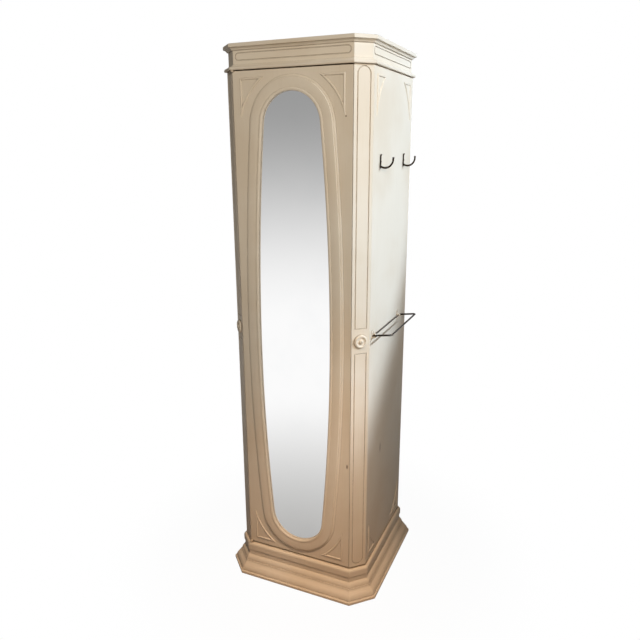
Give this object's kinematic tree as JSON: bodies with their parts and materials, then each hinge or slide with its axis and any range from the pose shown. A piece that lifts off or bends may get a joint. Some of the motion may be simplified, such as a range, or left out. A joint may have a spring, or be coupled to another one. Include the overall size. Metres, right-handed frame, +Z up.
{
  "type": "rotating jewelry armoire",
  "caption": "Tall square armoire that turns on a moulded plinth, with an oval mirror door over jewelry shelves, rear drawers, robe hooks and a folding valet bar.",
  "frame": {"origin": "centre of the plinth's footprint, on the floor, at the foot of the axis on which the column turns", "axes": "+Z up, -Y out through the mirror door, +X to the right of someone who faces the mirror, towards the side with the hooks and the valet bar"},
  "size_m": [0.5864, 0.563, 1.805],
  "materials": {
    "cream_paint": "satin antique cream paint over wood, glazed darker in the hollows",
    "inner_wood": "cream paint, matt",
    "tray_velvet": "wooden tray lined with brown velvet flock",
    "backing_board": "brown hardboard, bare",
    "mirror_silver": "silvered mirror glass",
    "dark_bronze": "dark bronze, satin, rubbed lighter on the edges",
    "hinge_metal": "steel painted to match the cabinet",
    "zinc_steel": "zinc-plated steel",
    "ball_steel": "polished bearing steel",
    "cage_plastic": "off-white moulded nylon",
    "glide_plastic": "black moulded plastic"
  },
  "bodies": {
    "plinth": {"plinth_mouldings": "cream_paint", "plinth_deck": "inner_wood", "plinth_cross_rails": "inner_wood", "floor_glides": "glide_plastic", "turntable_lower_plate": "zinc_steel", "lower_plate_screws": "zinc_steel"},
    "ball_ring": {"ball_cage": "cage_plastic", "bearing_balls": "ball_steel"},
    "column": {"turntable_upper_plate": "zinc_steel", "bearing_spacer": "inner_wood", "upper_plate_screws": "zinc_steel", "floor_board": "inner_wood", "top_board": "inner_wood", "front_left_post": "cream_paint", "front_right_post": "cream_paint", "rear_left_post": "cream_paint", "rear_right_post": "cream_paint", "post_rosettes": "cream_paint", "left_side_panel": "cream_paint", "right_side_panel": "cream_paint", "left_panel_beads": "cream_paint", "right_panel_beads": "cream_paint", "divider_panel": "inner_wood", "front_shelves": "inner_wood", "necklace_rail": "inner_wood", "necklace_hooks": "dark_bronze", "jewel_tray": "tray_velvet", "bay_cheeks": "inner_wood", "bay_shelves": "inner_wood", "crown_frieze": "cream_paint", "crown_cap_moulding": "cream_paint", "crown_skirt_moulding": "cream_paint", "crown_lid": "cream_paint", "robe_hooks": "dark_bronze", "hook_screws": "dark_bronze", "valet_brackets": "cream_paint", "bracket_screws": "cream_paint", "hinge_fixed_leaves": "hinge_metal", "magnetic_catch": "cage_plastic"},
    "mirror_door": {"door_panel": "cream_paint", "oval_moulding": "cream_paint", "mirror_glass": "mirror_silver", "mirror_backer": "backing_board", "backer_clips": "zinc_steel", "door_beads": "cream_paint", "hinge_door_leaves": "hinge_metal", "catch_plate": "zinc_steel"},
    "valet_bar": {"valet_bar": "dark_bronze"},
    "drawer_1": {"drawer_front_1": "cream_paint", "drawer_box_1": "inner_wood", "drawer_knob_1": "cream_paint"},
    "drawer_2": {"drawer_front_2": "cream_paint", "drawer_box_2": "inner_wood", "drawer_knob_2": "cream_paint"},
    "drawer_3": {"drawer_front_3": "cream_paint", "drawer_box_3": "inner_wood", "drawer_knob_3": "cream_paint"},
    "drawer_4": {"drawer_front_4": "cream_paint", "drawer_box_4": "inner_wood", "drawer_knob_4": "cream_paint"}
  },
  "joints": [
    {"name": "column_spin", "type": "hinge", "parent": "plinth", "child": "column", "pos_m": [0, 0, 0.108], "axis": [0, 0, 1], "continuous": true},
    {"name": "ball_ring_spin", "type": "hinge", "parent": "plinth", "child": "ball_ring", "pos_m": [0, 0, 0.108], "axis": [0, 0, 1], "continuous": true},
    {"name": "door_swing", "type": "hinge", "parent": "column", "child": "mirror_door", "pos_m": [-0.1905, -0.2415, 0.9255], "axis": [0, 0, -1], "range_deg": [0, 105]},
    {"name": "valet_bar_fold", "type": "hinge", "parent": "column", "child": "valet_bar", "pos_m": [0.2445, -0.0355, 0.944], "axis": [0, -1, 0], "range_deg": [0, 77]},
    {"name": "drawer_1_slide", "type": "slide", "parent": "column", "child": "drawer_1", "axis": [0, 1, 0], "range_m": [0, 0.16]},
    {"name": "drawer_2_slide", "type": "slide", "parent": "column", "child": "drawer_2", "axis": [0, 1, 0], "range_m": [0, 0.16]},
    {"name": "drawer_3_slide", "type": "slide", "parent": "column", "child": "drawer_3", "axis": [0, 1, 0], "range_m": [0, 0.16]},
    {"name": "drawer_4_slide", "type": "slide", "parent": "column", "child": "drawer_4", "axis": [0, 1, 0], "range_m": [0, 0.16]}
  ],
  "couplings": [
    {"joint": "ball_ring_spin", "follows": "column_spin", "ratio": 0.5}
  ]
}
